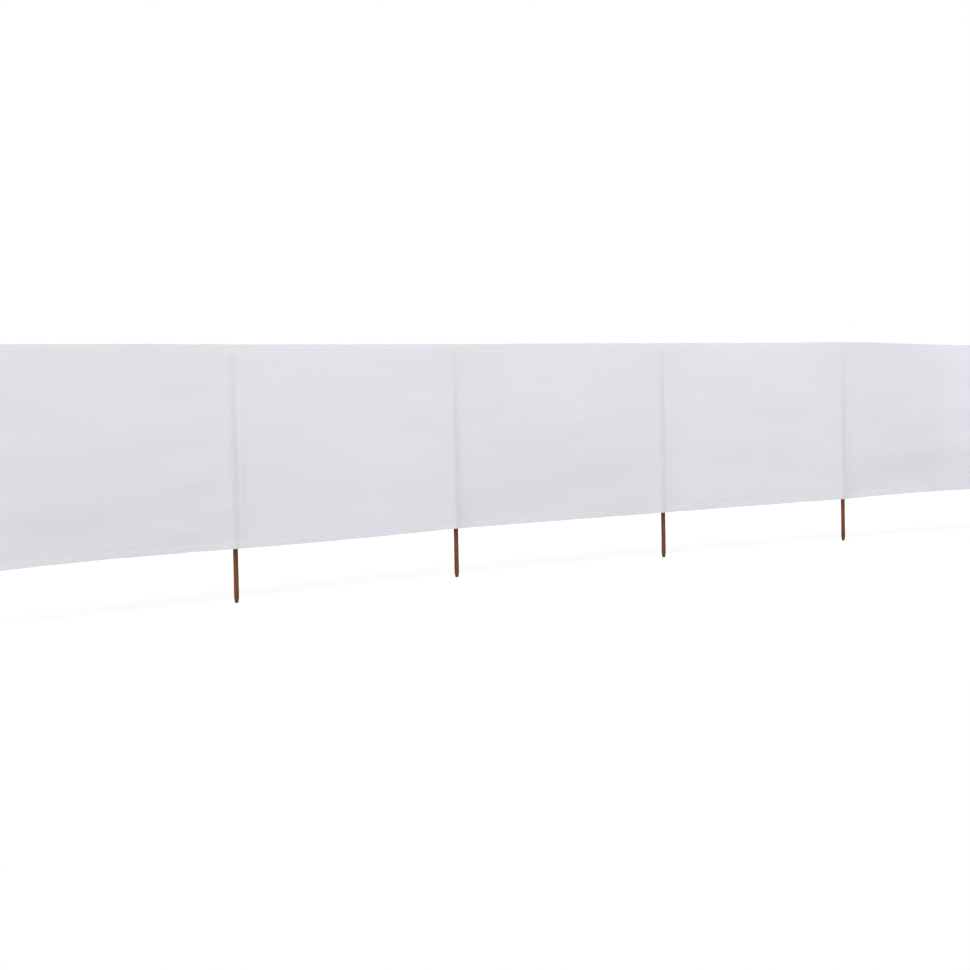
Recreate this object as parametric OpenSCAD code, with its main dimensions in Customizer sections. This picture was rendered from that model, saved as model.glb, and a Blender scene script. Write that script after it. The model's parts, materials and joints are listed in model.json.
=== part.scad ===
// Beach windbreak: a long cloth screen held up by pointed wooden poles that
// stand in pockets sewn to the back of the cloth.
// Millimetres, +Z up, X along the row. The plain face of the cloth looks
// towards -Y. The origin is the centre of the flat tip of the middle pole.

/* [Row] */
// Number of bays, even so that a pole stands in the middle
bays = 6; // [2:2:6]
// Distance between neighbouring poles
bay_w = 1325; // [900:25:1600]
// Average bend of the row at each pole, in degrees, hollow towards -Y
bend = 4; // [0:0.5:8]
// Turn of every second bay to either side, in degrees
zigzag = 1.5; // [0:0.5:3]

/* [Cloth] */
// Height of the cloth
cloth_h = 800; // [600:20:1600]
// Thickness of one layer of cloth
cloth_t = 1; // [0.6:0.1:2]
// Height of the strip turned back along the upper and lower edge
hem_h = 32; // [15:1:60]

/* [Poles] */
// Diameter of a pole
pole_d = 20; // [15:0.5:32]
// Length of pole that stands out below the cloth
stake_l = 212; // [120:1:500]
// Length of the sharpened end
taper_l = 28; // [15:1:80]
// Diameter of the flat tip
tip_d = 13; // [4:0.5:14]
// Bevel round the upper end of a pole
pole_bevel = 2; // [0.5:0.5:5]

/* [Sleeves] */
// Width of the flat seam on each side of a pole
seam_w = 15; // [8:1:40]
// Depth of the flat seam that closes the top of a sleeve
closed_h = 12; // [6:0.5:40]
// Slack all round between a pole and its sleeve
ease = 0.4; // [0.3:0.1:1.5]

/* [Hidden] */
$fn = 96;
// Clearance between a pole and the back of the cloth, under the slack so that
// the sleeve stays open along its front
cloth_gap = ease / 2;
// Clearance between the upper end of a pole and the lid of its sleeve
end_gap = 0.3;
poles = bays + 1;
middle = bays / 2 + 1;
pole_r = pole_d / 2;
// Upper and lower edge of the cloth, and the upper end of the poles
cloth_bottom = stake_l;
cloth_top = stake_l + cloth_h;
pole_l = cloth_top - closed_h;
// The inside and outside of a sleeve's tube, measured from the pole's axis
sleeve_in = pole_r + ease;
sleeve_out = sleeve_in + cloth_t;
// Distance from the poles' axes forward to the back of the cloth
face = pole_r + cloth_gap;
// Gap between the cloth and a strip sewn to its back, and from the poles' axes
// forward to the front and the back of such a strip
layer_gap = 0.05;
strip_front = face - layer_gap;
strip_back = strip_front - cloth_t;
// From a pole's axis to the outer edge of its sleeve
reach = sleeve_out + seam_w;
// Overshoot that keeps cutting shapes clear of the faces that they cut
over = 5;

WOOD = [0.47, 0.33, 0.25];
CLOTH = [0.88, 0.885, 0.905];

// Heading of bay b, turned from +X towards +Y
function heading(b) =
    -bend * (b - (bays + 1) / 2) + zigzag * (b % 2 == 0 ? 1 : -1);
// Headings of the bays to the left and right of pole k; an end pole has one
function left_heading(k) = heading(max(k - 1, 1));
function right_heading(k) = heading(min(k, bays));

function along(h) = [cos(h), sin(h)];
function ahead(h) = [sin(h), -cos(h)];

// Place of pole k, found by walking the bays from the middle pole
function pole_at(k) =
    k == middle ? [0, 0] :
    k > middle ? pole_at(k - 1) + bay_w * along(heading(k - 1)) :
    pole_at(k + 1) - bay_w * along(heading(k));

// The point on the mitre at pole k that lies d in front of both bays
function mitre(k, d) =
    let (l = left_heading(k), r = right_heading(k))
    pole_at(k) + d / cos((r - l) / 2) * ahead((l + r) / 2);

// The point u past pole k along bay heading h, and d in front of the bay
function beside(k, h, u, d) = pole_at(k) + u * along(h) + d * ahead(h);

// Outline of a band at pole k that follows both bays, from the depth d0 to d1
function bent_band(k, d0, d1) = [
    beside(k, left_heading(k), -reach, d0),
    beside(k, left_heading(k), -reach, d1),
    mitre(k, d1),
    beside(k, right_heading(k), reach, d1),
    beside(k, right_heading(k), reach, d0),
    mitre(k, d0)
];

// Where the cloth of bay b starts and ends at depth d: at the mitre, or past
// the end pole by the width of its sleeve
function cloth_start(b, d) =
    b == 1 ? beside(1, heading(1), -reach, d) : mitre(b, d);
function cloth_end(b, d) =
    b == bays ? beside(poles, heading(bays), reach, d) : mitre(b + 1, d);

// The cloth of one bay, flat between its two poles
module panel(b) {
    color(CLOTH)
    translate([0, 0, cloth_bottom])
    linear_extrude(cloth_h)
    polygon([
        cloth_start(b, face), cloth_start(b, face + cloth_t),
        cloth_end(b, face + cloth_t), cloth_end(b, face)
    ]);
}

// A strip turned to the back of bay b from the height z, between two sleeves
module hem(b, z) {
    color(CLOTH)
    translate([0, 0, z])
    linear_extrude(hem_h)
    polygon([
        beside(b, heading(b), reach, strip_back),
        beside(b, heading(b), reach, strip_front),
        beside(b + 1, heading(b), -reach, strip_front),
        beside(b + 1, heading(b), -reach, strip_back)
    ]);
}

// A strip of cloth that passes behind pole k and is sewn flat on both sides
// of it: a pocket open at the bottom and closed by a seam at the top
module sleeve(k) {
    lid_h = pole_l + end_gap + cloth_t - cloth_bottom;
    color(CLOTH)
    translate([0, 0, cloth_bottom])
    difference() {
        union() {
            at_pole(k) cylinder(h = lid_h, r = sleeve_out);
            linear_extrude(cloth_h)
                polygon(bent_band(k, strip_back, strip_front));
        }
        at_pole(k)
            translate([0, 0, -over])
            cylinder(h = lid_h - cloth_t + over, r = sleeve_in);
        translate([0, 0, -over])
            linear_extrude(cloth_h + 2 * over)
            polygon(bent_band(k, strip_front, strip_front + over));
    }
}

// A round pole with a sharpened lower end and a bevelled upper end
module pole(k) {
    color(WOOD)
    at_pole(k)
    rotate_extrude()
    polygon([
        [0, 0], [tip_d / 2, 0], [pole_r, taper_l], [pole_r, pole_l - pole_bevel],
        [pole_r - pole_bevel, pole_l], [0, pole_l]
    ]);
}

module at_pole(k) {
    translate(pole_at(k)) children();
}

for (b = [1 : bays]) {
    panel(b);
    hem(b, cloth_top - hem_h);
    hem(b, cloth_bottom);
}
for (k = [1 : poles]) {
    sleeve(k);
    pole(k);
}
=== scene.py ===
"""The look of the beach windbreak: cloth with hems, sleeves and stitching, on
stained wooden poles. Metres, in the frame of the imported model.

The cloth is described by two coordinates: along, the distance from the first
pole's axis measured bay by bay, and up, the height above the ground. Bays and
poles are counted from 0 here, and from 1 in the names of the pieces."""

import json
import math

import bpy
import numpy as np
from mathutils import Matrix, Vector


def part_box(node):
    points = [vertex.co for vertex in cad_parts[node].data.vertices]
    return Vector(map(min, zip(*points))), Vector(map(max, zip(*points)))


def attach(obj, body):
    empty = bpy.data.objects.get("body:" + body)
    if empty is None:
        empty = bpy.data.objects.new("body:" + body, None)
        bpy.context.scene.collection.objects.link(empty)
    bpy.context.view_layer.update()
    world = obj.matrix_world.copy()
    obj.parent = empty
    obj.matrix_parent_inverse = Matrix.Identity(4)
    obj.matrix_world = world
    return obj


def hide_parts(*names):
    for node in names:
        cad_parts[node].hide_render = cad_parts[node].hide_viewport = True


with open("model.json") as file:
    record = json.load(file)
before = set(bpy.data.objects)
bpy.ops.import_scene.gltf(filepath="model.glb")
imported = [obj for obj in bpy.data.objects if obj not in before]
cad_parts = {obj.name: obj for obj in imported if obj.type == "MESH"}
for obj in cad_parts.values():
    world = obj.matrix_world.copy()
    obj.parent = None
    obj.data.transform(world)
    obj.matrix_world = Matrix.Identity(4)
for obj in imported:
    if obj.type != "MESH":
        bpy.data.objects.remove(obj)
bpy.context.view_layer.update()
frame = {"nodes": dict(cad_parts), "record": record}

MM = 0.001

# ---------------------------------------------------------------- camera
EYE = (-8.145, -7.644, 0.85)
HEADING_DEG = 42.51  # clockwise from the y axis, seen from above
PITCH_DEG = -2.526
ROLL_DEG = -1.12
LENS_MM = 87.6
SENSOR_MM = 36.0
CLIP_END = 200.0


def make_camera():
    """A low eye, under the level of the cloth's upper edge, to the left of the row."""
    data = bpy.data.cameras.new("camera")
    data.sensor_width = SENSOR_MM
    data.lens = LENS_MM
    data.clip_end = CLIP_END
    camera = bpy.data.objects.new("camera", data)
    bpy.context.collection.objects.link(camera)
    turn = Matrix.Rotation(math.radians(-HEADING_DEG), 4, "Z")
    tilt = Matrix.Rotation(math.radians(90 + PITCH_DEG), 4, "X")
    roll = Matrix.Rotation(math.radians(ROLL_DEG), 4, "Z")
    camera.matrix_world = Matrix.Translation(EYE) @ turn @ tilt @ roll
    bpy.context.scene.camera = camera


make_camera()

# ---------------------------------------------------------------- sizes from the frame
POLES = np.array([mount["pos_m"][:2] for mount in frame["record"]["mounts"]])
BAYS = len(POLES) - 1
BAY_W = float(np.linalg.norm(POLES[1] - POLES[0]))
ALONG = (POLES[1:] - POLES[:-1]) / BAY_W  # the direction of each bay
AHEAD = np.stack([ALONG[:, 1], -ALONG[:, 0]], axis=1)  # the way each bay faces

pole_low, pole_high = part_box("pole_1")
POLE_R = (pole_high.x - pole_low.x) / 2
POLE_TOP = pole_high.z
panel_low, panel_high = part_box("panel_1")
CLOTH_LOW = panel_low.z
CLOTH_TOP = panel_high.z
CLOTH_H = CLOTH_TOP - CLOTH_LOW
hem_low, hem_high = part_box("top_hem_1")
HEM_H = hem_high.z - hem_low.z
sleeve_low, sleeve_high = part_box(f"sleeve_{BAYS // 2 + 1}")  # the middle one stands square
REACH = (sleeve_high.x - sleeve_low.x) / 2  # from a pole's axis to its sleeve's side

# ---------------------------------------------------------------- cloth values
LAYER_T = 0.6 * MM  # one layer of cloth
HEM_T = 1.0 * MM  # an edge that is turned in twice
LAYER_GAP = 0.05 * MM
PANEL_DEPTH = POLE_R - 1.6 * MM  # front of the cloth before the poles' axes, between poles
RIDGE_DEPTH = POLE_R + LAYER_T + 0.9 * MM  # the same over a pole
RIDGE_W = 15 * MM
SEAM_X = POLE_R + 5 * MM  # from a pole's axis to the seam beside it
POCKET_BACK = POLE_R + LAYER_T + 1.0 * MM  # outside of a pocket behind its pole
LID_SEAM_UP = POLE_TOP + 7.5 * MM  # the row of stitches that closes a pocket's top
HEM_SEAM_IN = 4 * MM  # from the sewn side of a hem to its stitches
FOLD_R = 0.9 * MM  # round of the turned edge
TURN_W = 22 * MM  # half the stretch over which the cloth turns at a pole
LIGHT_BAY = 4  # the slack bay, with a stretch of painted light
SHADE_DEPTH = 0.12  # how much darker the cloth is where its painted shade is 1

BELLY = 5 * MM  # how far the middle of a bay stands forward
STILL_W = 0.24  # the cloth's waves reach their full size this far from a pole
SWELL = 1.2 * MM
SWELL_W = 0.80
SWELL_H = 0.24
STREAK = 0.36 * MM
STREAK_W = 0.55
STREAK_H = 0.045
CALM = (1.0, 0.7)  # size of the swells and streaks in even and odd bays
FOLD_DEPTH = (1.15 * MM, 0.75 * MM)  # depth of the long folds in even and odd bays
FOLD_PITCH = (0.205, 0.23)
FOLD_START = (0.76, 1.05)  # in pitches above the cloth's lower edge
FOLD_END = (1.35, 1.5)  # a greater value carries the folds higher up
FOLD_WANDER = 0.10
PUCKER = 0.75 * MM  # beside a pole's seams
PUCKER_H = 0.030
PUCKER_REACH = 28 * MM
HEM_PUCKER = 0.35 * MM  # beside a hem's seam
HEM_PUCKER_W = 0.034
HEM_PUCKER_REACH = 22 * MM
GROOVE = 0.45 * MM  # along a row of stitches
GROOVE_W = 1.6 * MM
DENT = 2.2 * MM  # the pucker at a lower corner
DENT_AT = (0.055, 0.035)
DENT_SIZE = (0.032, 0.050)
LOW_BOW = np.array([6, -3, 0, 1, 13, 3]) * MM  # most that each bay's lower edge rises
TOP_BOW = np.array([2, 0, 1, -1, -20, 2]) * MM  # and its upper edge, or falls below 0
LATE_BOW = 1.6  # moves the slack bay's upper bow to the right of its middle
WAVER = 0.8 * MM  # the edges' slight rise and fall
WAVER_W = 0.11
TINY = 1e-9  # keeps rounding from adding a row or column

# Seeds of the random surfaces. Bay n takes 10 n + 1 to 10 n + 3 for its waves.
LOW_EDGE_SEED = 61
TOP_EDGE_SEED = 62
PUCKER_SEED = 71
HEM_PUCKER_SEED = 72
SLEEVE_SEED = 91
POLE_SEED = 111


def smooth(x):
    """0 below 0, 1 above 1, and an even curve between."""
    x = np.clip(x, 0, 1)
    return x * x * x * (x * (6 * x - 15) + 10)


def unit(vectors):
    """The same vectors at a length of 1."""
    return vectors / np.linalg.norm(vectors, axis=-1, keepdims=True)


def soft_noise(x, y, seed):
    """A smooth random surface from -1 to 1 that changes over about one unit."""
    side = 64
    lattice = np.random.default_rng(seed).uniform(-1, 1, (side, side))
    left, low = np.floor(x).astype(int), np.floor(y).astype(int)
    across, up = smooth(x - left), smooth(y - low)

    def corner(i, j):
        return lattice[(left + i) % side, (low + j) % side]

    lower = corner(0, 0) * (1 - across) + corner(1, 0) * across
    upper = corner(0, 1) * (1 - across) + corner(1, 1) * across
    return lower * (1 - up) + upper * up


def nearest_pole(along):
    """The number of the nearest pole, and the distance past it."""
    pole = np.clip(np.round(along / BAY_W).astype(int), 0, BAYS)
    return pole, along - pole * BAY_W


def bay_of(along):
    """The number of the bay at this distance."""
    return np.clip(np.floor(along / BAY_W).astype(int), 0, BAYS - 1)


def plan_point(along):
    """The point of the row of poles' axes at this distance."""
    bay = bay_of(along)
    return POLES[bay] + (along - bay * BAY_W)[..., None] * ALONG[bay]


def plan_normal(along):
    """The way the cloth faces, turning evenly from bay to bay at each pole."""
    pole, past = nearest_pole(along)
    turned = smooth((past / TURN_W + 1) / 2)[..., None]
    left = AHEAD[np.maximum(pole - 1, 0)]
    right = AHEAD[np.minimum(pole, BAYS - 1)]
    return unit(left * (1 - turned) + right * turned)


# ---------------------------------------------------------------- shape of the cloth
def bay_waves(bay, across, above):
    """One bay's waves, by the distance across it and above its lower edge: broad
    swells, fine streaks and two or three long folds, which climb in even bays."""
    kind = bay % 2
    seed = 10 * bay
    swells = SWELL * CALM[kind] * soft_noise(across / SWELL_W, above / SWELL_H + 3, seed + 1)
    streaks = STREAK * CALM[kind] * soft_noise(across / STREAK_W, above / STREAK_H, seed + 2)
    wander = FOLD_WANDER * soft_noise(across / 0.6, above / 0.5, seed + 3)
    if kind == 0:
        rise = 0.15 * np.maximum(across - 0.36 * BAY_W, 0) - 0.02 * across
        phase = (above - rise) / FOLD_PITCH[kind] + wander
    else:
        phase = above / FOLD_PITCH[kind] + 0.02 * across + wander
    fading = smooth(FOLD_END[kind] - 1.2 * (above / CLOTH_H))
    folds = FOLD_DEPTH[kind] * np.sin(2 * math.pi * (phase - FOLD_START[kind])) * fading
    return swells + streaks + folds


def field_waves(along, up):
    """The slack cloth between the poles, which hold it still: a belly, and waves."""
    bay = bay_of(along)
    across = along - bay * BAY_W
    above = up - CLOTH_LOW
    upright = np.sin(math.pi * np.clip(above / CLOTH_H, 0, 1))
    level = np.sin(math.pi * np.clip(across / BAY_W, 0, 1)) ** 0.7
    waves = np.zeros(np.broadcast(along, up).shape)
    for number in range(BAYS):
        here = bay == number
        if here.any():
            waves = np.where(here, bay_waves(number, across, above), waves)
    from_pole = np.minimum(np.abs(across), np.abs(BAY_W - across))
    return (BELLY * upright * level + waves) * smooth(from_pole / STILL_W)


def seam_ripples(along, up):
    """Small puckers that run out from the seams beside the poles and the hems."""
    pole, past = nearest_pole(along)
    beside = np.abs(past)
    fading = np.exp(-np.maximum(beside - SEAM_X, 0) / PUCKER_REACH)
    near = smooth((beside - 4 * MM) / (8 * MM)) * fading
    side = np.where(past > 0, 0.37, 0.0)
    at_pole = PUCKER * near * soft_noise(up / PUCKER_H + side, pole * 7.3 + 0.5 + side, PUCKER_SEED)
    from_hem = np.minimum(np.abs(up - CLOTH_LOW - HEM_H), np.abs(CLOTH_TOP - HEM_H - up))
    size = HEM_PUCKER * np.exp(-from_hem / HEM_PUCKER_REACH)
    at_hem = size * soft_noise(along / HEM_PUCKER_W, up / 0.2, HEM_PUCKER_SEED)
    return at_pole + at_hem * smooth((beside - REACH) / (20 * MM))


def seam_grooves(along, up):
    """The line that a row of stitches pulls into the cloth."""
    _, past = nearest_pole(along)
    beside = np.abs(past)
    upright = np.exp(-(((beside - SEAM_X) / GROOVE_W) ** 2))
    from_seam = np.minimum(np.abs(up - hem_seam("low")), np.abs(up - hem_seam("top")))
    level = np.exp(-((from_seam / GROOVE_W) ** 2)) * smooth((beside - SEAM_X) / (6 * MM))
    return -GROOVE * np.maximum(upright, level)


def hem_seam(edge):
    """Height of the row of stitches that holds the lower or upper hem."""
    inset = HEM_H - HEM_SEAM_IN
    return CLOTH_LOW + inset if edge == "low" else CLOTH_TOP - inset


def corner_pucker(along, up):
    """A dent at the lower corner of every second bay, where the cloth drags."""
    bay = bay_of(along)
    across = (along - bay * BAY_W - DENT_AT[0]) / DENT_SIZE[0]
    above = (up - CLOTH_LOW - DENT_AT[1]) / DENT_SIZE[1]
    return np.where(bay % 2 == 0, -DENT * np.exp(-(across**2) - above**2), 0.0)


def cloth_depth(along, up):
    """How far the front of the cloth lies before the row of poles' axes."""
    _, past = nearest_pole(along)
    ridge = (RIDGE_DEPTH - PANEL_DEPTH) * np.exp(-((past / RIDGE_W) ** 2))
    waves = field_waves(along, up) + corner_pucker(along, up)
    return PANEL_DEPTH + ridge + waves + seam_ripples(along, up) + seam_grooves(along, up)


def edge_rise(along, up):
    """How far the cloth is drawn up or down between two poles: each edge bows by
    its bay's value, the slack bay's upper edge most to the right of its middle, and
    wavers slightly. Between the edges the rise is shared out evenly."""
    bay = bay_of(along)
    across = np.clip((along - bay * BAY_W) / BAY_W, 0, 1)
    height = (up - CLOTH_LOW) / CLOTH_H
    bow = np.sin(math.pi * across)
    late_bow = np.sin(math.pi * across**LATE_BOW)
    waver = WAVER * smooth(bow / 0.3)
    low = LOW_BOW[bay] * bow + waver * soft_noise(along / WAVER_W, 0 * along, LOW_EDGE_SEED)
    top = TOP_BOW[bay] * np.where(bay == LIGHT_BAY, late_bow, bow)
    top = top + waver * soft_noise(along / WAVER_W, 0 * along, TOP_EDGE_SEED)
    return low * (1 - height) + top * height


def on_cloth(along, up, behind=0.0):
    """Points on the front of the cloth, or this far behind it."""
    along, up = np.broadcast_arrays(along, up)
    depth = cloth_depth(along, up) - behind
    plan = plan_point(along) + plan_normal(along) * depth[..., None]
    return np.concatenate([plan, (up + edge_rise(along, up))[..., None]], axis=-1)


# ---------------------------------------------------------------- mesh helpers
FOLD_ROWS = 0.3 * MM  # largest steps between the rows and columns of the cloth
HEM_ROWS = 6 * MM
SEAM_ROWS = 1.25 * MM
FIELD_ROWS = 8.5 * MM
POLE_COLUMNS = 1.6 * MM
SIDE_COLUMNS = 5 * MM
FIELD_COLUMNS = 13 * MM


def grid_normals(points):
    """Unit normals of a grid of points with rows going up and columns along."""
    return unit(np.cross(np.gradient(points, axis=1), np.gradient(points, axis=0)))


def grid_uv(across, up):
    """Each point's place on the cloth, for a grid of columns and rows."""
    return np.stack(np.broadcast_arrays(across[None, :], up[:, None]), axis=-1)


def sheet_faces(rows, cols):
    """The faces of a closed sheet's front, back and rim. Its points are numbered
    row by row, the front's first and then the back's."""
    count = rows * cols
    number = np.arange(count).reshape(rows, cols)
    a, b = number[:-1, :-1].ravel(), number[:-1, 1:].ravel()
    c, d = number[1:, 1:].ravel(), number[1:, :-1].ravel()
    front = np.stack([a, b, c, d], axis=1)
    back = np.stack([a, d, c, b], axis=1) + count
    loop = np.concatenate([number[0, :-1], number[:-1, -1], number[-1, :0:-1], number[:0:-1, 0]])
    following = np.roll(loop, -1)
    rim = np.stack([following, loop, loop + count, following + count], axis=1)
    return front, back, rim


def rim_normals(corners):
    """The flat normal of each face of the rim, once for each of its four corners."""
    least = 1e-12  # so that nothing is divided by 0
    normals = np.cross(corners[:, 1] - corners[:, 0], corners[:, 2] - corners[:, 1])
    normals /= np.maximum(np.linalg.norm(normals, axis=1, keepdims=True), least)
    return np.repeat(normals, 4, axis=0)


def thin_solid(name, points, normals, thickness, uv, shade):
    """A closed sheet: the grid of points is its front, and its back lies behind by
    the thickness. shade is a value at each point for the material: above 0 it
    darkens the cloth with painted shade, and below 0 it lightens it with painted light."""
    front, back, rim = sheet_faces(*points.shape[:2])
    faces = np.concatenate([front, back, rim])
    verts = np.concatenate([points, points - normals * thickness]).reshape(-1, 3)
    outward = np.concatenate([normals, -normals]).reshape(-1, 3)
    corner_normals = outward[np.concatenate([front, back]).ravel()]
    corner_normals = np.concatenate([corner_normals, rim_normals(verts[rim])])
    mesh = bpy.data.meshes.new(name)
    mesh.from_pydata(verts.tolist(), [], faces.tolist())
    mesh.shade_smooth()
    mesh.normals_split_custom_set(corner_normals.tolist())
    add_cloth_data(mesh, faces, uv, shade)
    return add_object(name, mesh)


def add_cloth_data(mesh, faces, uv, shade):
    """Gives a sheet its places on the cloth and its painted shade, the same on both sides."""
    layer = mesh.uv_layers.new(name="cloth")
    both = np.tile(uv.reshape(-1, 2), (2, 1))
    layer.data.foreach_set("uv", both[faces.ravel()].astype(np.float32).ravel())
    value = mesh.attributes.new("shade", "FLOAT", "POINT")
    value.data.foreach_set("value", np.tile(shade.ravel(), 2).astype(np.float32))


def add_object(name, mesh):
    """An object of this mesh, in the scene."""
    piece = bpy.data.objects.new(name, mesh)
    bpy.context.collection.objects.link(piece)
    return piece


def steps(*stretches):
    """Values through stretches given as (start, end, largest step), joined up."""
    parts = []
    for start, end, step in stretches:
        count = max(1, math.ceil(abs(end - start) / step - TINY))
        parts.append(np.linspace(start, end, count + 1)[:-1])
    return np.concatenate([*parts, [stretches[-1][1]]])


def heights():
    """Rows of the cloth, close together at the turned edges and their seams."""
    low, top = hem_seam("low"), hem_seam("top")
    near = 5 * MM
    return steps(
        (CLOTH_LOW, CLOTH_LOW + 2 * FOLD_R, FOLD_ROWS),
        (CLOTH_LOW + 2 * FOLD_R, low - near, HEM_ROWS),
        (low - near, low + near, SEAM_ROWS),
        (low + near, top - near, FIELD_ROWS),
        (top - near, top + near, SEAM_ROWS),
        (top + near, CLOTH_TOP - 2 * FOLD_R, HEM_ROWS),
        (CLOTH_TOP - 2 * FOLD_R, CLOTH_TOP, FOLD_ROWS),
    )


def bay_columns(bay):
    """Columns of one bay's cloth, close together beside its two poles. The cloth of
    the first and last bay goes on past the end pole."""
    start, end = bay * BAY_W, (bay + 1) * BAY_W
    near = 22 * MM
    before = REACH if bay == 0 else 0.0
    after = REACH if bay == BAYS - 1 else 0.0
    return steps(
        (start - before, start + near, POLE_COLUMNS),
        (start + near, start + 4 * near, SIDE_COLUMNS),
        (start + 4 * near, end - 4 * near, FIELD_COLUMNS),
        (end - 4 * near, end - near, SIDE_COLUMNS),
        (end - near, end + after, POLE_COLUMNS),
    )


# ---------------------------------------------------------------- painted shade and light on the cloth
# Pairs of values are for even and odd poles, or for even and odd bays.
SHARP_W = (11 * MM, 13 * MM)  # a pole's band of painted shade on its sharp side
SOFT_W = (26 * MM, 17 * MM)  # and on its soft side
BAND_AT_HEM = 0.38
BAND_GROWS = 0.40
# painted shadow to the right of a pole, lower down
SIDE_SHADOW = (0.10, 0.22)
SIDE_SHADOW_W = 66 * MM
SEAM_TONE = 0.20
PALE_X = 28 * MM  # a pale line past a pole's axis, painted as a highlight
PALE_W = 6 * MM
DARK_X = 43 * MM  # and a dark one, painted as the shade of a groove
DARK_W = 5 * MM
TOP_HEM_TONE = (-0.07, -0.13)
LOW_HEM_TONE = -0.17
HEM_BLUR = 3 * MM
# painted shadow in the lower corner beside a pole
CORNER_SHADOW = (0.44, 0.10)
CORNER_SHADOW_W = 0.115
CORNER_SHADOW_H = 0.12
# painted light in the light bay's bright stretch
PAINTED_LIGHT = 0.46


def by_turns(number, pair):
    """The first value of the pair at even numbers, and the second at odd ones."""
    return np.where(number % 2 == 0, *pair)


def pole_shade(along, up):
    """How much a pole and its pocket darken the cloth before them: painted shade, and the pole painted as
    showing through the thin cloth.
    """
    pole, past = nearest_pole(along)
    below = CLOTH_TOP - HEM_H - up
    return pole_shade_band(pole, past, below) + side_shadow_band(pole, past, below) + seam_light_and_shade(pole, past, below)


def pole_shade_band(pole, past, below):
    """A band of painted shade, partly the pole painted as showing through the cloth: sharp
    on one side and soft on the other, it grows from the hem down as the cloth lies closer to the pole."""
    side = by_turns(pole, (past, -past))
    sharp = np.exp(-((np.maximum(-side, 0) / by_turns(pole, SHARP_W)) ** 3))
    soft = np.exp(-((np.maximum(side, 0) / by_turns(pole, SOFT_W)) ** 1.5))
    strength = BAND_AT_HEM + BAND_GROWS * smooth(below / (0.52 * CLOTH_H))
    return sharp * soft * (smooth((below + 4 * MM) / (30 * MM)) * strength)


def side_shadow_band(pole, past, below):
    """A wider and fainter band of painted shadow to the right of a pole, lower down."""
    right = smooth((past - 6 * MM) / (14 * MM)) * np.exp(-((np.maximum(past, 0) / SIDE_SHADOW_W) ** 4))
    return by_turns(pole, SIDE_SHADOW) * right * smooth(below / CLOTH_H / 0.45 - 0.5)


def seam_light_and_shade(pole, past, below):
    """A painted highlight and a dark line of painted shade to the right of a pole, strong at every fourth.
    """
    pale = np.exp(-(((past - PALE_X) / PALE_W) ** 2))
    dark = np.exp(-(((past - DARK_X) / DARK_W) ** 2))
    strength = np.where(pole % 4 == 1, 1.0, 0.2)
    return (SEAM_TONE * dark - SEAM_TONE * pale) * strength * smooth(below / 0.25)


def field_shade(along, up):
    """The painted shade and light of each bay, with its paler hems, the painted
    shadow in its lower corner and the painted light of the light bay's bright stretch."""
    bay = bay_of(along)
    across = along - bay * BAY_W
    above = up - CLOTH_LOW
    tone = painted_bay_shade(bay, across, above / CLOTH_H) + hem_tone(bay, up) + corner_shadow(along, above)
    return tone - painted_light_stretch(bay, across, above / CLOTH_H)


def painted_bay_shade(bay, across, height):
    """Painted shade and light: even bays are darker in their lower half, and odd bays are paler low down.
    """
    inside = smooth(np.minimum(np.abs(across), np.abs(BAY_W - across)) / 0.25)
    rising = 0.47 + 0.12 * smooth(across / BAY_W - 0.2)
    darker = 0.02 + 0.09 * smooth((rising - height) / 0.14) - 0.06 * smooth((0.10 - height) / 0.10)
    painted_light_low = -0.05 - 0.12 * smooth(1.05 - 1.6 * height)
    return by_turns(bay, (darker, painted_light_low)) * inside


def hem_tone(bay, up):
    """The hems are paler, as two more layers lie behind the cloth there."""
    top = smooth((up - CLOTH_TOP + HEM_H + HEM_BLUR) / (2 * HEM_BLUR)) * by_turns(bay, TOP_HEM_TONE)
    low = smooth((CLOTH_LOW + HEM_H + HEM_BLUR - up) / (2 * HEM_BLUR)) * LOW_HEM_TONE
    return top + low


def corner_shadow(along, above):
    """A painted shadow in the lower corner to the right of each pole, where the cloth puckers, strong at
    every second one.
    """
    pole, past = nearest_pole(along)
    width = np.exp(-((np.maximum(past, 0) / CORNER_SHADOW_W) ** 4)) * smooth((past + 10 * MM) / (20 * MM))
    return by_turns(pole, CORNER_SHADOW) * width * np.exp(-((above / CORNER_SHADOW_H) ** 2))


def painted_light_stretch(bay, across, height):
    """How much painted light comes through the right part of the light bay."""
    place = across / BAY_W
    bright = smooth((place - 0.42) / 0.30) * smooth((1 - place) / 0.06) * smooth((height + 0.08) / 0.30)
    return PAINTED_LIGHT * bright * (bay == LIGHT_BAY)


# ---------------------------------------------------------------- the pieces of cloth
EVEN_SIDE = 0.8 * MM  # a column this far out is used for the normals only
HEM_SIDE = 0.06  # closer columns over this length at each end of a hem
HEM_SEWN = 8 * MM  # and closer rows over this height at its sewn side
HEM_SEWN_ROWS = 1.3 * MM
HEM_SHIFT = (0.4, 0.3)  # so that a hem's weave isn't the same as the front's
LID_PLACES = np.array([0.10, 0.25, 0.42, 0.62, 0.82, 0.94, 1.0])  # rows where a pocket closes
LID_OPEN = [0.985, 0.93, 0.80, 0.55, 0.24, 0.07, 0.0]  # and how far open it is in them
LID_START = 0.8 * MM
LID_H = 5.6 * MM
FLANGE_COLUMNS = 2.2 * MM
POCKET_COLUMNS = 33
POCKET_SLACK = 0.11
SLEEVE_SHIFT = 0.11


def fold_back(points, up, behind):
    """Rolls the outermost rows over the hem behind, as a turned edge does."""
    over = np.maximum(up - (CLOTH_TOP - FOLD_R), (CLOTH_LOW + FOLD_R) - up)
    over = np.clip(over / FOLD_R, 0, 1)
    drop = behind * (1 - np.sqrt(1 - over**2))
    return points - grid_normals(points) * drop[:, None, None]


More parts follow.
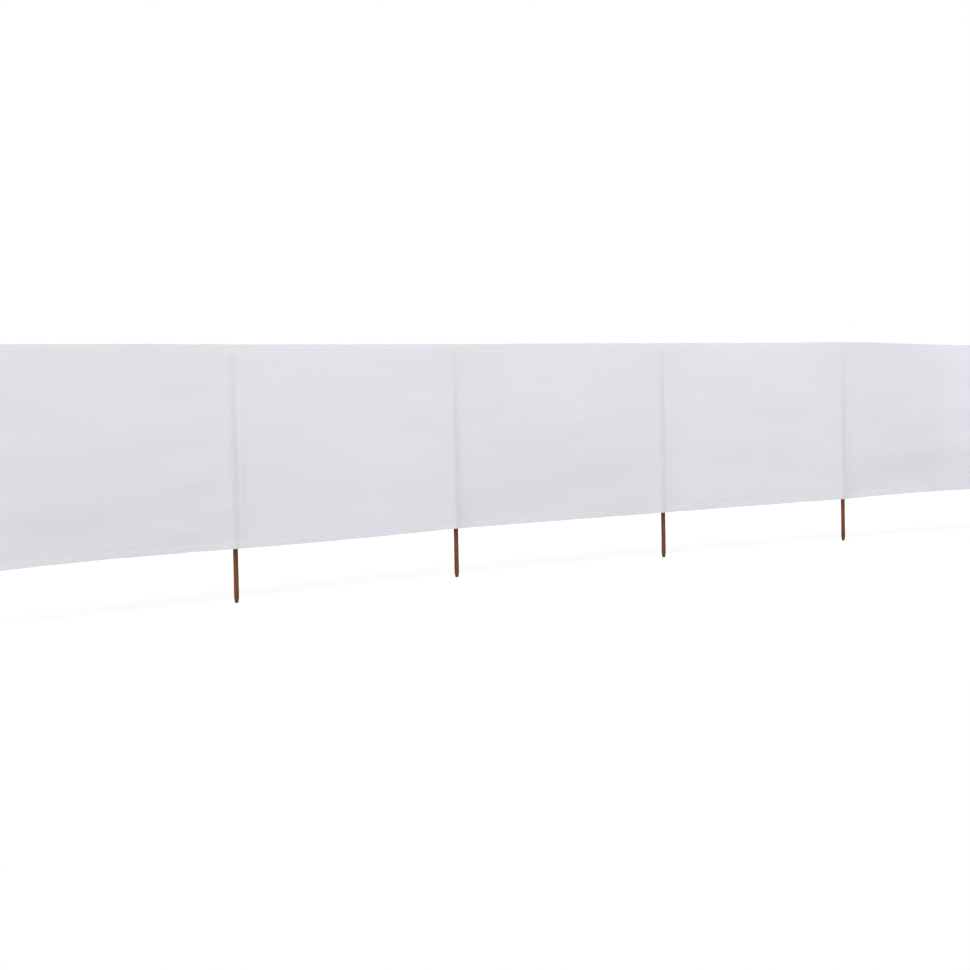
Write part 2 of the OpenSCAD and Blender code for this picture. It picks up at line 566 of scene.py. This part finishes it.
def make_panel(bay):
    """One bay's cloth. A column beyond each side keeps its shading even with
    the next bay's."""
    along = bay_columns(bay)
    wide = np.concatenate([[along[0] - EVEN_SIDE], along, [along[-1] + EVEN_SIDE]])
    up = heights()
    points = fold_back(on_cloth(wide[None, :], up[:, None]), up, LAYER_T + HEM_T)
    normals = grid_normals(points)[:, 1:-1]
    shade = pole_shade(along[None, :], up[:, None]) + field_shade(along[None, :], up[:, None])
    return thin_solid(f"cloth_{bay + 1}", points[:, 1:-1], normals, LAYER_T, grid_uv(along, up), shade)


def hem_rows(edge):
    """Rows of a hem, close together at its sewn side."""
    if edge == "low":
        sewn = CLOTH_LOW + HEM_H
        near = sewn - HEM_SEWN
        return steps((CLOTH_LOW + FOLD_R, near, HEM_ROWS), (near, sewn, HEM_SEWN_ROWS))
    sewn = CLOTH_TOP - HEM_H
    near = sewn + HEM_SEWN
    return steps((sewn, near, HEM_SEWN_ROWS), (near, CLOTH_TOP - FOLD_R, HEM_ROWS))


def make_hem(bay, edge):
    """The turned edge at the back of one bay, between its two sleeves."""
    start, end = bay * BAY_W + REACH, (bay + 1) * BAY_W - REACH
    along = steps(
        (start, start + HEM_SIDE, SIDE_COLUMNS),
        (start + HEM_SIDE, end - HEM_SIDE, FIELD_COLUMNS),
        (end - HEM_SIDE, end, SIDE_COLUMNS),
    )
    up = hem_rows(edge)
    points = on_cloth(along[None, :], up[:, None], LAYER_T + LAYER_GAP)
    uv = grid_uv(along + HEM_SHIFT[0], up + HEM_SHIFT[1])
    shade = np.zeros(points.shape[:2])
    name = {"low": "bottom", "top": "top"}[edge]
    return thin_solid(f"{name}_edge_{bay + 1}", points, grid_normals(points), HEM_T, uv, shade)


def pocket_rows():
    """Height of each row of a sleeve, and how far open the pocket is there: open
    round the pole, closing over the pole's top, and flat above."""
    round_pole = steps(
        (CLOTH_LOW + 0.4 * MM, CLOTH_LOW + 6 * MM, 2 * MM),
        (CLOTH_LOW + 6 * MM, POLE_TOP - 12 * MM, 10 * MM),
        (POLE_TOP - 12 * MM, POLE_TOP, 4 * MM),
    )
    lid = POLE_TOP + LID_START + LID_H * LID_PLACES
    flat = [LID_SEAM_UP, CLOTH_TOP - FOLD_R]
    up = np.concatenate([round_pole, lid, flat])
    opened = np.concatenate([np.ones(len(round_pole)), LID_OPEN, [0.0, 0.0]])
    return up, opened


def sleeve_columns():
    """A sleeve from side to side: the distance past the pole's axis, how far the
    strip stands out behind the pole, from 0 to 1, and the angle round the pole."""
    turn = np.linspace(0, math.pi, POCKET_COLUMNS)
    flange = steps((REACH, SEAM_X, FLANGE_COLUMNS))[:-1]
    flat = 0 * flange
    past = np.concatenate([-flange, -SEAM_X * np.cos(turn), flange[::-1]])
    bulge = np.concatenate([flat, np.sin(turn), flat])
    angle = np.concatenate([flat, turn, flat + math.pi])
    return past, bulge, angle


def pocket_slack(pole, angle, up, opened):
    """How loosely the pocket hangs round its pole, as a share of its depth."""
    loose = soft_noise(angle[None, :] * 1.6, up[:, None] / 0.09 + pole * 5.1, SLEEVE_SEED)
    return 1 + POCKET_SLACK * loose * opened[:, None]


def make_sleeve(pole):
    """The strip of cloth round the back of a pole: flat and sewn on both sides, and
    hanging loose between its seams, where it doesn't follow the cloth's ridge over
    the pole. It is darker over the pole, which is painted as showing through, and it has
    painted shade where it faces up or down, as where it closes over the pole's top."""
    up, opened = pocket_rows()
    past, bulge, angle = sleeve_columns()
    along = pole * BAY_W + past
    points = on_cloth(along[None, :], up[:, None], LAYER_T + LAYER_GAP)
    outward = plan_normal(np.full(along.shape, pole * BAY_W))[None, :, :]
    depth = PANEL_DEPTH - LAYER_T + POCKET_BACK
    back = depth * bulge[None, :] * pocket_slack(pole, angle, up, opened) * opened[:, None]
    points[..., :2] -= outward * back[..., None]
    ridge = (RIDGE_DEPTH - PANEL_DEPTH) * np.exp(-((past / RIDGE_W) ** 2)) * (bulge > 0)
    points[..., :2] -= outward * (ridge[None, :] * np.minimum(opened[:, None] * 3, 1))[..., None]
    normals = grid_normals(points)
    column_steps = np.hypot(np.diff(past), np.diff(bulge * back.max()))
    uv = grid_uv(pole * SLEEVE_SHIFT + np.cumsum(np.r_[0, column_steps]), up)
    through = np.where(bulge > 0, 0.75 * bulge**2, 0.0)[None, :] * opened[:, None] ** 2
    # painted shade where the pocket faces up or down, so that its top doesn't glare white under the lamps
    level_face_shade = 2.0 * np.abs(normals[..., 2]) ** 1.5
    return thin_solid(f"pocket_{pole + 1}", points, normals, LAYER_T, uv, through + level_face_shade)


# ---------------------------------------------------------------- stitches
STITCH_PITCH = 4.5 * MM
STITCH_LEN = 3.6 * MM
THREAD_W = 0.55 * MM
THREAD_H = 0.32 * MM
# A stitch's points along, across and out of the cloth, in its length, width and height.
STITCH_POINTS = [
    (-0.5, 0, -0.6),
    (-0.22, -0.5, 0),
    (-0.22, 0, 1),
    (-0.22, 0.5, 0),
    (0.22, -0.5, 0),
    (0.22, 0, 1),
    (0.22, 0.5, 0),
    (0.5, 0, -0.6),
    (-0.22, 0, -0.8),
    (0.22, 0, -0.8),
]
STITCH_START = [(0, 1, 2), (0, 2, 3), (0, 8, 1), (0, 3, 8)]
STITCH_MIDDLE = [(1, 4, 5, 2), (2, 5, 6, 3), (8, 9, 4, 1), (3, 6, 9, 8)]
STITCH_END = [(4, 7, 5), (5, 7, 6), (9, 7, 4), (6, 7, 9)]
STITCH_FACES = STITCH_START + STITCH_MIDDLE + STITCH_END


def make_stitches(name, lines):
    """Short raised threads along lines of points. A line is (points, normals) with
    one stitch centred on each point, and runs from point to point."""
    verts, faces = [], []
    for points, normals in lines:
        run = unit(np.gradient(points, axis=0))
        side = unit(np.cross(normals, run))
        for place in zip(points, run, side, normals):
            faces.extend(tuple(len(verts) + i for i in face) for face in STITCH_FACES)
            verts.extend(stitch_point(*place, *point) for point in STITCH_POINTS)
    mesh = bpy.data.meshes.new(name)
    mesh.from_pydata(verts, [], faces)
    mesh.shade_smooth()
    return add_object(name, mesh)


def stitch_point(middle, run, side, outward, x, y, z):
    """One point of a stitch that lies at this middle, in these directions."""
    return tuple(middle + run * x * STITCH_LEN + side * y * THREAD_W + outward * z * THREAD_H)


def surface_line(along, up, behind=0.0, facing=1):
    """Points and outward normals along a line on the cloth's front or back."""
    step = 0.5 * MM
    points = on_cloth(along, up, behind)
    rise = on_cloth(along, up + step, behind) - on_cloth(along, up - step, behind)
    run = on_cloth(along + step, up, behind) - on_cloth(along - step, up, behind)
    return points, unit(np.cross(run, rise)) * facing


def sleeve_stitch_lines(pole):
    """Two upright seams and the short one that closes the pocket's top."""
    up = np.arange(CLOTH_LOW + 3 * MM, CLOTH_TOP - 3 * MM, STITCH_PITCH)
    across = np.arange(-SEAM_X, SEAM_X + MM, STITCH_PITCH)
    closing = np.full(len(across), LID_SEAM_UP)
    lines = []
    for behind, facing in ((0.0, 1), (2 * LAYER_T + LAYER_GAP, -1)):
        for side in (-1, 1):
            upright = np.full(len(up), pole * BAY_W + side * (SEAM_X + 0.6 * MM))
            lines.append(surface_line(upright, up, behind, facing))
        lines.append(surface_line(pole * BAY_W + across, closing, behind, facing))
    return lines


def hem_stitch_lines(bay):
    """The seams of one bay's two hems, on the cloth's front and on the hems' backs."""
    start = bay * BAY_W + SEAM_X + 6 * MM
    end = (bay + 1) * BAY_W - SEAM_X - 5 * MM
    along = np.arange(start, end, STITCH_PITCH)
    back_of_hem = LAYER_T + LAYER_GAP + HEM_T
    lines = []
    for edge in ("low", "top"):
        up = np.full(len(along), hem_seam(edge))
        lines.append(surface_line(along, up))
        lines.append(surface_line(along, up, back_of_hem, -1))
    return lines


# ---------------------------------------------------------------- poles
POLE_SIDES = 40
TIP_EASE = 1.6 * MM
ROUND_TOP = 2 * MM
TOP_ROWS = 10 * MM  # closer rows over this length at the top
POLE_ROUGH = 0.10 * MM
SHARP_DEG = 38


def pole_form():
    """The radius of a pole's flat tip and the height of its sharpened end."""
    points = np.array([vertex.co for vertex in frame["nodes"]["pole_1"].data.vertices])
    radius = np.hypot(points[:, 0] - POLES[0, 0], points[:, 1] - POLES[0, 1])
    z = points[:, 2]
    return float(radius[z < MM].max()), float(z[radius > 0.995 * POLE_R].min())


def pole_outline():
    """Heights and radii of a pole, from its eased tip to its rounded top."""
    tip_r, taper = pole_form()
    near, beyond = taper - 2 * MM, taper + 3 * MM
    z = np.concatenate([
        TIP_EASE * (1 - np.cos(np.linspace(0, math.pi / 2, 5)))[:-1],
        np.linspace(TIP_EASE, near, 9)[:-1],
        np.linspace(near, beyond, 6)[:-1],
        np.linspace(beyond, POLE_TOP - TOP_ROWS, 48)[:-1],
        POLE_TOP - TOP_ROWS * np.cos(np.linspace(0, math.pi / 2, 9)),
    ])
    cone = tip_r + (POLE_R - tip_r) * np.sin(math.pi / 2 * np.clip(z / taper, 0, 1)) ** 0.92
    up_ease = np.clip(z / TIP_EASE, 0, 1)
    tip = TIP_EASE * (1 - np.sqrt(np.clip(1 - (1 - up_ease) ** 2, 0, 1)))
    left = np.clip((POLE_TOP - z) / ROUND_TOP, 0, 1)
    top = ROUND_TOP * (1 - np.sqrt(1 - (1 - left) ** 2))
    return z, np.minimum(cone, POLE_R) - tip - top


def make_pole(pole):
    """A turned pole with a sharpened end and a slightly uneven surface."""
    z, outline = pole_outline()
    turn = np.linspace(0, 2 * math.pi, POLE_SIDES, endpoint=False)
    round_about = 9 + 2 * np.cos(turn)[None, :] + 0.7 * np.sin(turn)[None, :]
    rough = POLE_ROUGH * (soft_noise(round_about, z[:, None] / 0.05 + 20 * pole, POLE_SEED) - 1)
    radius = outline[:, None] + rough * smooth(z / (4 * MM))[:, None]
    x = POLES[pole, 0] + radius * np.cos(turn)[None, :]
    y = POLES[pole, 1] + radius * np.sin(turn)[None, :]
    verts = np.stack([x, y, np.broadcast_to(z[:, None], x.shape)], axis=-1).reshape(-1, 3)
    number = np.arange(len(verts)).reshape(len(z), POLE_SIDES)
    after = np.roll(number, -1, axis=1)
    quads = np.stack([number[:-1], after[:-1], after[1:], number[1:]], axis=-1).reshape(-1, 4)
    faces = quads.tolist() + [number[0, ::-1].tolist(), number[-1].tolist()]
    mesh = bpy.data.meshes.new(f"stake_{pole + 1}")
    mesh.from_pydata(verts.tolist(), [], faces)
    mesh.shade_smooth()
    mesh.set_sharp_from_angle(angle=math.radians(SHARP_DEG))
    return add_object(f"stake_{pole + 1}", mesh)


# ---------------------------------------------------------------- shader nodes
def new_material(name):
    """A material with its nodes, its links and its shader."""
    material = bpy.data.materials.new(name)
    material.use_nodes = True
    nodes = material.node_tree.nodes
    return material, nodes, material.node_tree.links, nodes["Principled BSDF"]


def set_inputs(node, values):
    """Sets a node's inputs by their names."""
    for name, value in values.items():
        node.inputs[name].default_value = value


def noise_node(nodes, links, vector, scale, detail, stretch=None):
    """A noise texture over the coordinates, stretched by three factors."""
    if stretch:
        mapping = nodes.new("ShaderNodeMapping")
        mapping.inputs["Scale"].default_value = stretch
        links.new(vector, mapping.inputs["Vector"])
        vector = mapping.outputs["Vector"]
    node = nodes.new("ShaderNodeTexNoise")
    node.inputs["Scale"].default_value = scale
    node.inputs["Detail"].default_value = detail
    links.new(vector, node.inputs["Vector"])
    return node.outputs["Fac"]


def ramp_node(nodes, links, value, stops):
    """Colours at places from 0 to 1."""
    node = nodes.new("ShaderNodeValToRGB")
    ramp = node.color_ramp
    while len(ramp.elements) < len(stops):
        ramp.elements.new(0.5)
    for element, (place, colour) in zip(ramp.elements, stops):
        element.position = place
        element.color = (*colour, 1)
    links.new(value, node.inputs["Fac"])
    return node.outputs["Color"]


def mix_node(nodes, links, factor, first, second, blend="MIX"):
    """A mix of two colours, each a socket, a colour or a number."""
    node = nodes.new("ShaderNodeMix")
    node.data_type = "RGBA"
    node.blend_type = blend
    for socket, value in (("Factor", factor), ("A", first), ("B", second)):
        target = next(i for i in node.inputs if i.name == socket and i.enabled)
        if isinstance(value, (int, float)):
            target.default_value = value
        elif isinstance(value, tuple):
            target.default_value = (*value, 1)
        else:
            links.new(value, target)
    return next(o for o in node.outputs if o.enabled)


def tint_node(nodes, links, tone, value, stops):
    """The tone times the colour that the value takes from a ramp."""
    return mix_node(nodes, links, 1.0, tone, ramp_node(nodes, links, value, stops), "MULTIPLY")


def math_node(nodes, links, operation, first, second):
    """Two values, each a socket or a number, put together by the operation."""
    node = nodes.new("ShaderNodeMath")
    node.operation = operation
    for socket, value in zip(node.inputs, (first, second)):
        if isinstance(value, (int, float)):
            socket.default_value = value
        else:
            links.new(value, socket)
    return node.outputs["Value"]


def axis_node(nodes, links, vector, axis):
    """One of a vector's three coordinates."""
    node = nodes.new("ShaderNodeSeparateXYZ")
    links.new(vector, node.inputs["Vector"])
    return node.outputs[axis]


def bump_node(nodes, links, height, distance, strength, below=None):
    """A fine relief, laid over the one below it."""
    node = nodes.new("ShaderNodeBump")
    node.inputs["Distance"].default_value = distance
    node.inputs["Strength"].default_value = strength
    links.new(height, node.inputs["Height"])
    if below is not None:
        links.new(below, node.inputs["Normal"])
    return node.outputs["Normal"]


# ---------------------------------------------------------------- materials
# Noise textures: scale, detail, and how closely they repeat along each axis.
CLOUDS = (1.0, 3, (1.6, 7, 1))
PATCHES = (1.0, 1, (2.6, 4.2, 1))
STREAKS = (1.0, 3, (4.5, 48, 1))
CRINKLE = (1.0, 3, (40, 60, 1))
FIBRES = (1400, 3)
TWIST = (2500, 2)
GRAIN = (1.0, 5, (420, 420, 9))
BROAD = (1.0, 3, (30, 30, 6))
FLECKS = (1.0, 2, (900, 900, 60))
# Reliefs: depth and strength.
FIBRE_RELIEF = (0.15 * MM, 0.5)
DOT_RELIEF = (0.20 * MM, 0.45)
CRINKLE_RELIEF = (0.5 * MM, 0.22)
TWIST_RELIEF = (0.1 * MM, 0.4)
GRAIN_RELIEF = (0.25 * MM, 0.6)
FLECK_RELIEF = (0.1 * MM, 0.4)
# Finishes, by the names of a node's inputs.
DOTS = {"Scale": 480, "Randomness": 0.2}
CLOTH_FINISH = {"Roughness": 0.92, "Specular IOR Level": 0.2, "Sheen Weight": 0.05, "Sheen Roughness": 0.6}
THREAD_FINISH = {"Roughness": 0.6}
WOOD_FINISH = {"Specular IOR Level": 0.10}
WOOD_ROUGHNESS = {"To Min": 0.70, "To Max": 0.90}
# Colours, and ramps of places and colours.
PLAIN = (1.0, 1.0, 1.0)
COOL = (0.998, 0.995, 1.004)  # tint of the light bay
CLOTH_TONE = [(0.30, (0.774, 0.778, 0.808)), (0.70, (0.792, 0.798, 0.830))]
PATCH_TINT = [(0.38, (1.0, 0.994, 0.999)), (0.62, (0.999, 1.004, 1.0))]
STREAK_TINT = [(0.32, (0.987, 0.987, 0.988)), (0.68, PLAIN)]
FIBRE_TINT = [(0.35, (0.955, 0.955, 0.958)), (0.65, PLAIN)]
DOT_TINT = [(0.14, (0.945, 0.945, 0.95)), (0.30, PLAIN)]
LIGHT_TINT = [(0.12, PLAIN), (0.45, (0.994, 0.993, 1.008))]  # where painted light comes through, a little bluer
THREAD_TONE = [(0.3, (0.70, 0.70, 0.72)), (0.7, (0.80, 0.80, 0.82))]
WOOD_TONE = [(0.25, (0.102, 0.034, 0.0155)), (0.5, (0.194, 0.073, 0.032)), (0.75, (0.288, 0.113, 0.051))]
BROAD_TINT = [(0.35, (0.80, 0.78, 0.80)), (0.65, PLAIN)]
FLECK_TINT = [(0.28, (0.62, 0.60, 0.60)), (0.36, PLAIN)]
CUT_H = 0.034  # the wood is darker up to here, at its cut tip, and darker again just under the cloth with painted shade
# brightness of the wood by height, with painted shade just under the cloth
WOOD_LEVELS = [
    (0.0, 0.86),
    (CUT_H, 0.96),
    (CUT_H + 0.02, 1.08),
    (CLOTH_LOW - 0.06, 1.00),
    (CLOTH_LOW - 0.02, 0.78),
    (CLOTH_LOW, 0.70),
]


def weave_tone(nodes, links, at, fibres, dots):
    """The cloth's pale grey with broad clouds, faint tints, streaks, fibres and dots."""
    clouds = noise_node(nodes, links, at, *CLOUDS)
    patches = noise_node(nodes, links, at, *PATCHES)
    streaks = noise_node(nodes, links, at, *STREAKS)
    tone = ramp_node(nodes, links, clouds, CLOTH_TONE)
    tone = tint_node(nodes, links, tone, patches, PATCH_TINT)
    tone = tint_node(nodes, links, tone, streaks, STREAK_TINT)
    tone = tint_node(nodes, links, tone, fibres, FIBRE_TINT)
    return tint_node(nodes, links, tone, dots, DOT_TINT)


def shaded_tone(nodes, links, tone):
    """The tone darkened by the piece's painted shade and lightened by its painted
    light, and a little bluer where it is lighter."""
    shade = nodes.new("ShaderNodeAttribute")
    shade.attribute_name = "shade"
    kept = math_node(nodes, links, "MULTIPLY", shade.outputs["Fac"], -SHADE_DEPTH)
    kept = math_node(nodes, links, "ADD", kept, 1.0)
    tone = mix_node(nodes, links, 1.0, tone, kept, "MULTIPLY")
    through = math_node(nodes, links, "MULTIPLY", shade.outputs["Fac"], -1.0)
    return tint_node(nodes, links, tone, through, LIGHT_TINT)


def light_bay_tone(nodes, links, tone, at):
    """The tone with a faint cool tint over the light bay."""
    share = math_node(nodes, links, "MULTIPLY", axis_node(nodes, links, at, "X"), 1 / (BAYS * BAY_W))
    first, last = LIGHT_BAY / BAYS, (LIGHT_BAY + 1) / BAYS
    stops = [(first - 0.01, PLAIN), (first + 0.02, COOL), (last - 0.02, COOL), (last + 0.01, PLAIN)]
    return tint_node(nodes, links, tone, share, stops)


def cloth_material():
    """Matt bonded cloth with fibres, bond points and crinkles. Each piece's painted
    shade and light make it darker over the poles, paler in the hems, and so on."""
    material, nodes, links, shader = new_material("cloth")
    uv = nodes.new("ShaderNodeUVMap")
    uv.uv_map = "cloth"
    at = uv.outputs["UV"]
    fibres = noise_node(nodes, links, at, *FIBRES)
    voronoi = nodes.new("ShaderNodeTexVoronoi")
    set_inputs(voronoi, DOTS)
    links.new(at, voronoi.inputs["Vector"])
    dots = voronoi.outputs["Distance"]
    tone = weave_tone(nodes, links, at, fibres, dots)
    tone = light_bay_tone(nodes, links, shaded_tone(nodes, links, tone), at)
    links.new(tone, shader.inputs["Base Color"])
    crinkle = noise_node(nodes, links, at, *CRINKLE)
    normal = bump_node(nodes, links, fibres, *FIBRE_RELIEF)
    normal = bump_node(nodes, links, dots, *DOT_RELIEF, normal)
    normal = bump_node(nodes, links, crinkle, *CRINKLE_RELIEF, normal)
    links.new(normal, shader.inputs["Normal"])
    set_inputs(shader, CLOTH_FINISH)
    return material


def thread_material():
    """White polyester sewing thread, a little glossier than the cloth."""
    material, nodes, links, shader = new_material("thread")
    at = nodes.new("ShaderNodeTexCoord").outputs["Object"]
    twist = noise_node(nodes, links, at, *TWIST)
    links.new(ramp_node(nodes, links, twist, THREAD_TONE), shader.inputs["Base Color"])
    links.new(bump_node(nodes, links, twist, *TWIST_RELIEF), shader.inputs["Normal"])
    set_inputs(shader, THREAD_FINISH)
    return material


def wood_material():
    """Softwood stained red-brown, with long grain and dark flecks, darker at its
    cut tip, and with painted shade just under the cloth."""
    material, nodes, links, shader = new_material("wood")
    at = nodes.new("ShaderNodeTexCoord").outputs["Object"]
    grain = noise_node(nodes, links, at, *GRAIN)
    broad = noise_node(nodes, links, at, *BROAD)
    flecks = noise_node(nodes, links, at, *FLECKS)
    levels = [(height, (bright, bright, bright)) for height, bright in WOOD_LEVELS]
    tone = ramp_node(nodes, links, grain, WOOD_TONE)
    tone = tint_node(nodes, links, tone, broad, BROAD_TINT)
    tone = tint_node(nodes, links, tone, flecks, FLECK_TINT)
    tone = tint_node(nodes, links, tone, axis_node(nodes, links, at, "Z"), levels)
    links.new(tone, shader.inputs["Base Color"])
    normal = bump_node(nodes, links, grain, *GRAIN_RELIEF)
    normal = bump_node(nodes, links, flecks, *FLECK_RELIEF, normal)
    links.new(normal, shader.inputs["Normal"])
    rough = nodes.new("ShaderNodeMapRange")
    set_inputs(rough, WOOD_ROUGHNESS)
    links.new(broad, rough.inputs["Value"])
    links.new(rough.outputs["Result"], shader.inputs["Roughness"])
    set_inputs(shader, WOOD_FINISH)
    return material


CLOTH = cloth_material()
THREAD = thread_material()
WOOD = wood_material()


# ---------------------------------------------------------------- the windbreak
def finish_piece(piece, material, slot, *nodes):
    """Gives a piece its material and its body, and hides the nodes that it replaces. Its slot is not used.
    """
    piece.data.materials.append(material)
    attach(piece, "root")
    if nodes:
        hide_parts(*nodes)
    return piece


for pole in range(BAYS + 1):
    finish_piece(make_pole(pole), WOOD, "wood", f"pole_{pole + 1}")

for pole in range(BAYS + 1):
    sleeve = finish_piece(make_sleeve(pole), CLOTH, "cloth", f"sleeve_{pole + 1}")
    stitches = make_stitches(f"pocket_seams_{pole + 1}", sleeve_stitch_lines(pole))
    seams = finish_piece(stitches, THREAD, "cloth")

for bay in range(BAYS):
    panel = finish_piece(make_panel(bay), CLOTH, "cloth", f"panel_{bay + 1}")
    stitches = make_stitches(f"hem_seams_{bay + 1}", hem_stitch_lines(bay))
    seams = finish_piece(stitches, THREAD, "cloth")
    top = finish_piece(make_hem(bay, "top"), CLOTH, "cloth", f"top_hem_{bay + 1}")
    low = finish_piece(make_hem(bay, "low"), CLOTH, "cloth", f"bottom_hem_{bay + 1}")

# ---------------------------------------------------------------- floor, light and world
WHITE = (1.0, 1.0, 1.0, 1.0)
FLOOR_HALF = 60.0
FLOOR_TONE = (0.57, 0.57, 0.575)  # what the floor sends back to the cloth
FLOOR_SHOWN = (0.93, 0.93, 0.93)  # the same floor where it is seen directly
FLOOR_FADE = {"From Min": 1.8, "From Max": 5.0, "To Min": 0.6}  # to white between these distances
FLOOR_SHAPE = (0.5, 1.0, 1.0)  # the distances count half along the row
FLOOR_FINISH = {"Roughness": 1.0, "Specular IOR Level": 0.0}
SOFT_LIGHT = {"Color": (0.985, 0.99, 1.0, 1), "Strength": 0.50}
WHITE_LIGHT = {"Color": WHITE, "Strength": 1.0}
LAMP_UP = 6.5
LAMP_AWAY = 4.0  # before the row, or behind it
LAMP_SIZE = (30.0, 2.0)  # along the row, and across it
LAMP_TARGET = Vector((0.0, 0.0, 0.6))
FRONT_WATTS = 912
REAR_WATTS = 790


def seen_directly(nodes, links):
    """1 for camera, glossy and transmission rays, which see the white surroundings."""
    path = nodes.new("ShaderNodeLightPath")
    seen = math_node(nodes, links, "MAXIMUM", path.outputs["Is Camera Ray"], path.outputs["Is Glossy Ray"])
    return math_node(nodes, links, "MAXIMUM", seen, path.outputs["Is Transmission Ray"])


def floor_whiteness(nodes, links):
    """How plain white the floor looks: partly near the row, where its shadow falls,
    and wholly some way off."""
    at = nodes.new("ShaderNodeTexCoord").outputs["Object"]
    place = nodes.new("ShaderNodeMapping")
    place.inputs["Scale"].default_value = FLOOR_SHAPE
    links.new(at, place.inputs["Vector"])
    length = nodes.new("ShaderNodeVectorMath")
    length.operation = "LENGTH"
    links.new(place.outputs["Vector"], length.inputs[0])
    fade = nodes.new("ShaderNodeMapRange")
    fade.interpolation_type = "SMOOTHSTEP"
    set_inputs(fade, FLOOR_FADE)
    links.new(length.outputs["Value"], fade.inputs["Value"])
    return fade.outputs["Result"]


def shader_mix(nodes, links, factor, first, second, output):
    """Mixes two shaders, or two backgrounds, into the surface of the output."""
    mix = nodes.new("ShaderNodeMixShader")
    links.new(factor, mix.inputs["Fac"])
    links.new(first, mix.inputs[1])
    links.new(second, mix.inputs[2])
    links.new(mix.outputs["Shader"], nodes[output].inputs["Surface"])


def floor_material():
    """A matt pale floor that fades to plain white where it is seen directly."""
    material, nodes, links, shader = new_material("floor")
    seen = seen_directly(nodes, links)
    links.new(mix_node(nodes, links, seen, FLOOR_TONE, FLOOR_SHOWN), shader.inputs["Base Color"])
    set_inputs(shader, FLOOR_FINISH)
    white = nodes.new("ShaderNodeEmission")
    set_inputs(white, WHITE_LIGHT)
    share = math_node(nodes, links, "MULTIPLY", seen, floor_whiteness(nodes, links))
    shader_mix(nodes, links, share, shader.outputs["BSDF"], white.outputs["Emission"], "Material Output")
    return material


def make_floor():
    """A wide flat floor at the height of the poles' tips."""
    corners = [(x * FLOOR_HALF, y * FLOOR_HALF, 0) for x, y in ((-1, -1), (1, -1), (1, 1), (-1, 1))]
    mesh = bpy.data.meshes.new("floor")
    mesh.from_pydata(corners, [], [(0, 1, 2, 3)])
    floor = add_object("floor", mesh)
    floor.data.materials.append(floor_material())


def make_world():
    """Plain soft light from all round, and white where it is seen directly."""
    world = bpy.data.worlds.new("world")
    bpy.context.scene.world = world
    world.use_nodes = True
    nodes, links = world.node_tree.nodes, world.node_tree.links
    soft = nodes["Background"]
    set_inputs(soft, SOFT_LIGHT)
    white = nodes.new("ShaderNodeBackground")
    set_inputs(white, WHITE_LIGHT)
    seen = seen_directly(nodes, links)
    shader_mix(nodes, links, seen, soft.outputs["Background"], white.outputs["Background"], "World Output")


def make_softbox(name, away, watts):
    """A long lamp over the row, behind it or before it, that the camera doesn't see."""
    data = bpy.data.lights.new(name, "AREA")
    data.shape = "RECTANGLE"
    data.size, data.size_y = LAMP_SIZE
    data.energy = watts
    lamp = bpy.data.objects.new(name, data)
    bpy.context.collection.objects.link(lamp)
    place = Vector((0.0, away, LAMP_UP))
    facing = (LAMP_TARGET - place).to_track_quat("-Z", "Y")
    lamp.matrix_world = Matrix.Translation(place) @ facing.to_matrix().to_4x4()
    lamp.visible_camera = False


make_floor()
make_world()
make_softbox("front", -LAMP_AWAY, FRONT_WATTS)
make_softbox("rear", LAMP_AWAY, REAR_WATTS)
bpy.context.scene.view_settings.view_transform = "Standard"
